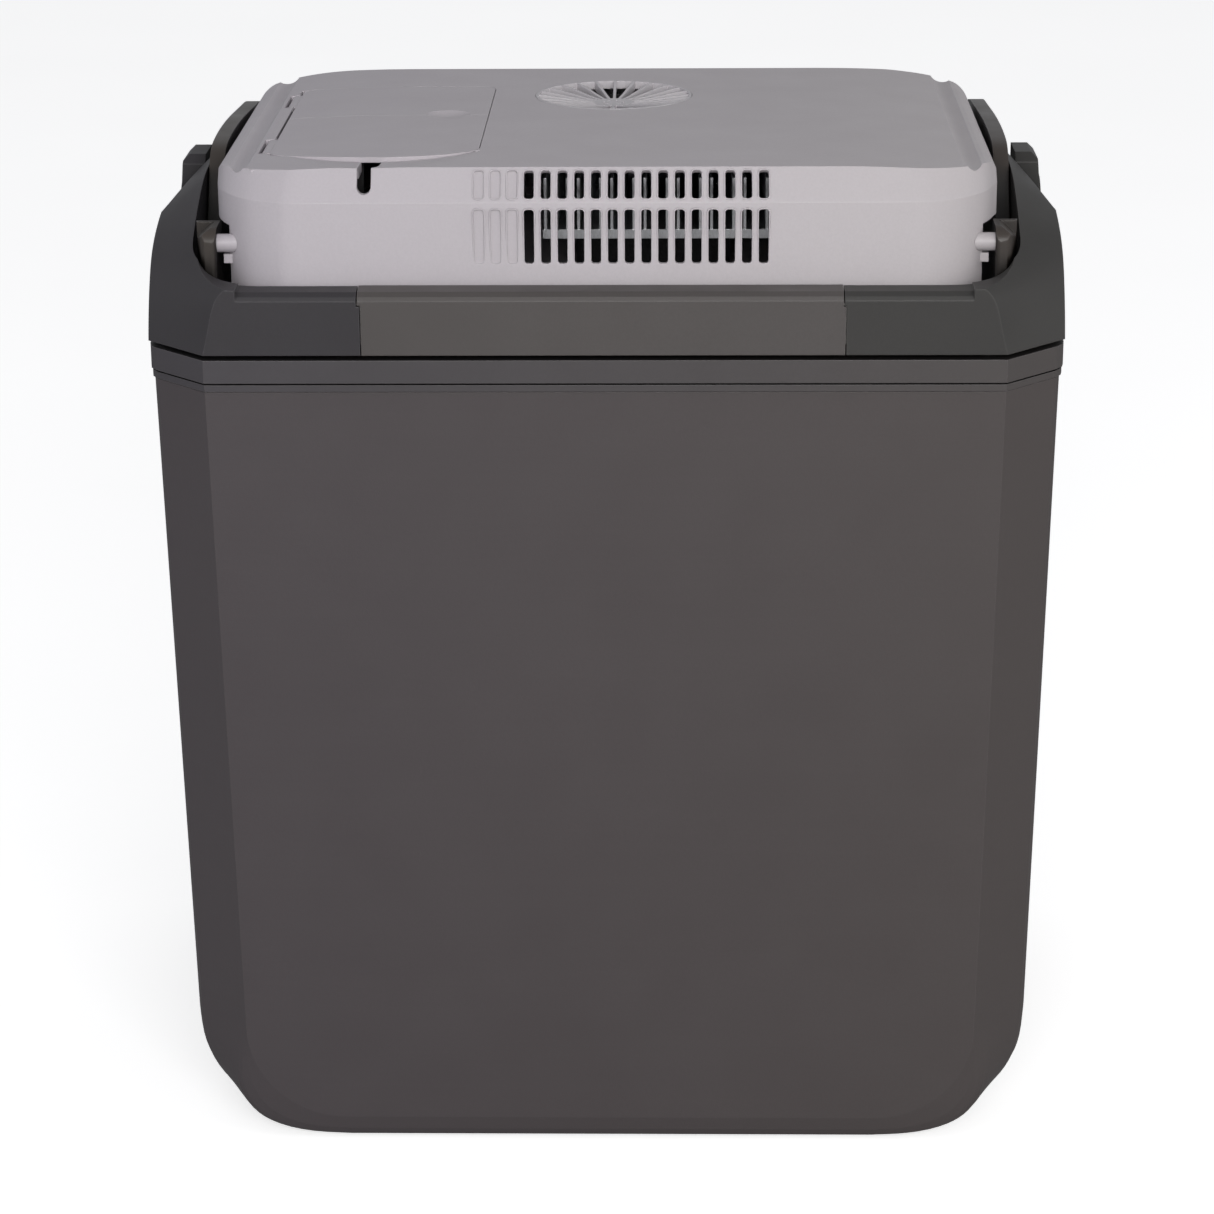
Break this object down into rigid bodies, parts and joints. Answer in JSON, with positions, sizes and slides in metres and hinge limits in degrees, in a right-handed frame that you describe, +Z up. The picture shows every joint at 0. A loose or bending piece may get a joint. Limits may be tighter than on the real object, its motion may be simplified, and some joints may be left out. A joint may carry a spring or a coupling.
{
  "type": "portable thermoelectric cooler box",
  "caption": "Insulated portable cooler box with a top-mounted thermoelectric cooling unit in its hinged lid, cable compartments and a folding carry handle.",
  "frame": {"origin": "centre of the footprint, on the floor under the feet", "axes": "+Z up, -Y the long side the folded handle lies along, +X to the right of a person facing that side"},
  "size_m": [0.4004, 0.292, 0.4561],
  "materials": {
    "body_plastic": "fine matte moulded texture",
    "rim_plastic": "satin moulded",
    "handle_plastic": "fine matte moulded texture",
    "grip_rubber": "soft matt",
    "cheek_plastic": "satin moulded",
    "lid_plastic": "fine satin moulded texture",
    "liner_plastic": "smooth satin",
    "dark_plastic": "moulded",
    "foam": "closed-cell foam",
    "seal_rubber": "soft matt",
    "foot_rubber": "soft matt",
    "steel": "zinc plated",
    "aluminium": "extruded and brushed",
    "ceramic": "fired ceramic",
    "circuit_board": "solder mask",
    "components": "moulded"
  },
  "bodies": {
    "cabinet": {"outer_shell": "body_plastic", "inner_liner": "liner_plastic", "foam_core": "foam", "rim_collar": "rim_plastic", "side_cheek_left": "cheek_plastic", "side_cheek_right": "cheek_plastic", "cheek_screws": "steel", "feet": "foot_rubber", "pivot_screws": "steel"},
    "handle": {"handle_arm_left": "handle_plastic", "handle_arm_right": "handle_plastic", "handle_grip": "handle_plastic", "grip_backing": "grip_rubber", "handle_core_bar": "steel", "grip_screws": "steel", "pivot_caps": "handle_plastic"},
    "lid": {"board_screws": "steel", "cable_tray": "dark_plastic", "cold_air_guard": "liner_plastic", "cold_block": "aluminium", "cold_fan_frame": "dark_plastic", "cold_sink": "aluminium", "dc_cord": "dark_plastic", "dc_plug": "dark_plastic", "door_hinge_pins": "steel", "fan_grille": "lid_plastic", "fan_screws": "steel", "guard_screws": "steel", "hot_fan_frame": "dark_plastic", "hot_sink": "aluminium", "lid_base": "lid_plastic", "lid_foam": "foam", "lid_gasket": "seal_rubber", "lid_hinge_pins": "lid_plastic", "lid_plug": "liner_plastic", "lid_screws": "steel", "lid_top_cover": "lid_plastic", "mains_inlet": "dark_plastic", "mode_switch": "dark_plastic", "peltier_module": "ceramic", "power_board": "circuit_board", "power_components": "components", "stack_bolts": "steel", "stack_insulation": "foam"},
    "hot_fan": {"hot_fan_rotor": "dark_plastic"},
    "cold_fan": {"cold_fan_rotor": "dark_plastic"},
    "dc_door": {"cable_door_front": "lid_plastic"},
    "mains_door": {"cable_door_rear": "lid_plastic"},
    "mode_selector": {"mode_slider": "lid_plastic"}
  },
  "joints": [
    {"name": "handle_swing", "type": "hinge", "parent": "cabinet", "child": "handle", "pos_m": [0, 0, 0.412], "axis": [1, 0, 0], "range_deg": [-98, 0]},
    {"name": "lid_hinge", "type": "hinge", "parent": "cabinet", "child": "lid", "pos_m": [0, -0.11, 0.4205], "axis": [1, 0, 0], "range_deg": [0, 70]},
    {"name": "dc_door_hinge", "type": "hinge", "parent": "lid", "child": "dc_door", "pos_m": [-0.1507, 0, 0.4516], "axis": [0, -1, 0], "range_deg": [0, 90]},
    {"name": "mains_door_hinge", "type": "hinge", "parent": "lid", "child": "mains_door", "pos_m": [-0.1507, 0, 0.4516], "axis": [0, -1, 0], "range_deg": [0, 90]},
    {"name": "hot_fan_spin", "type": "hinge", "parent": "lid", "child": "hot_fan", "pos_m": [0.001, 0.049, 0.44], "axis": [0, 0, 1], "continuous": true},
    {"name": "cold_fan_spin", "type": "hinge", "parent": "lid", "child": "cold_fan", "pos_m": [0.02, 0, 0.36], "axis": [0, 0, 1], "continuous": true},
    {"name": "mode_slide", "type": "slide", "parent": "lid", "child": "mode_selector", "axis": [1, 0, 0], "range_m": [-0.003, 0.003]}
  ]
}
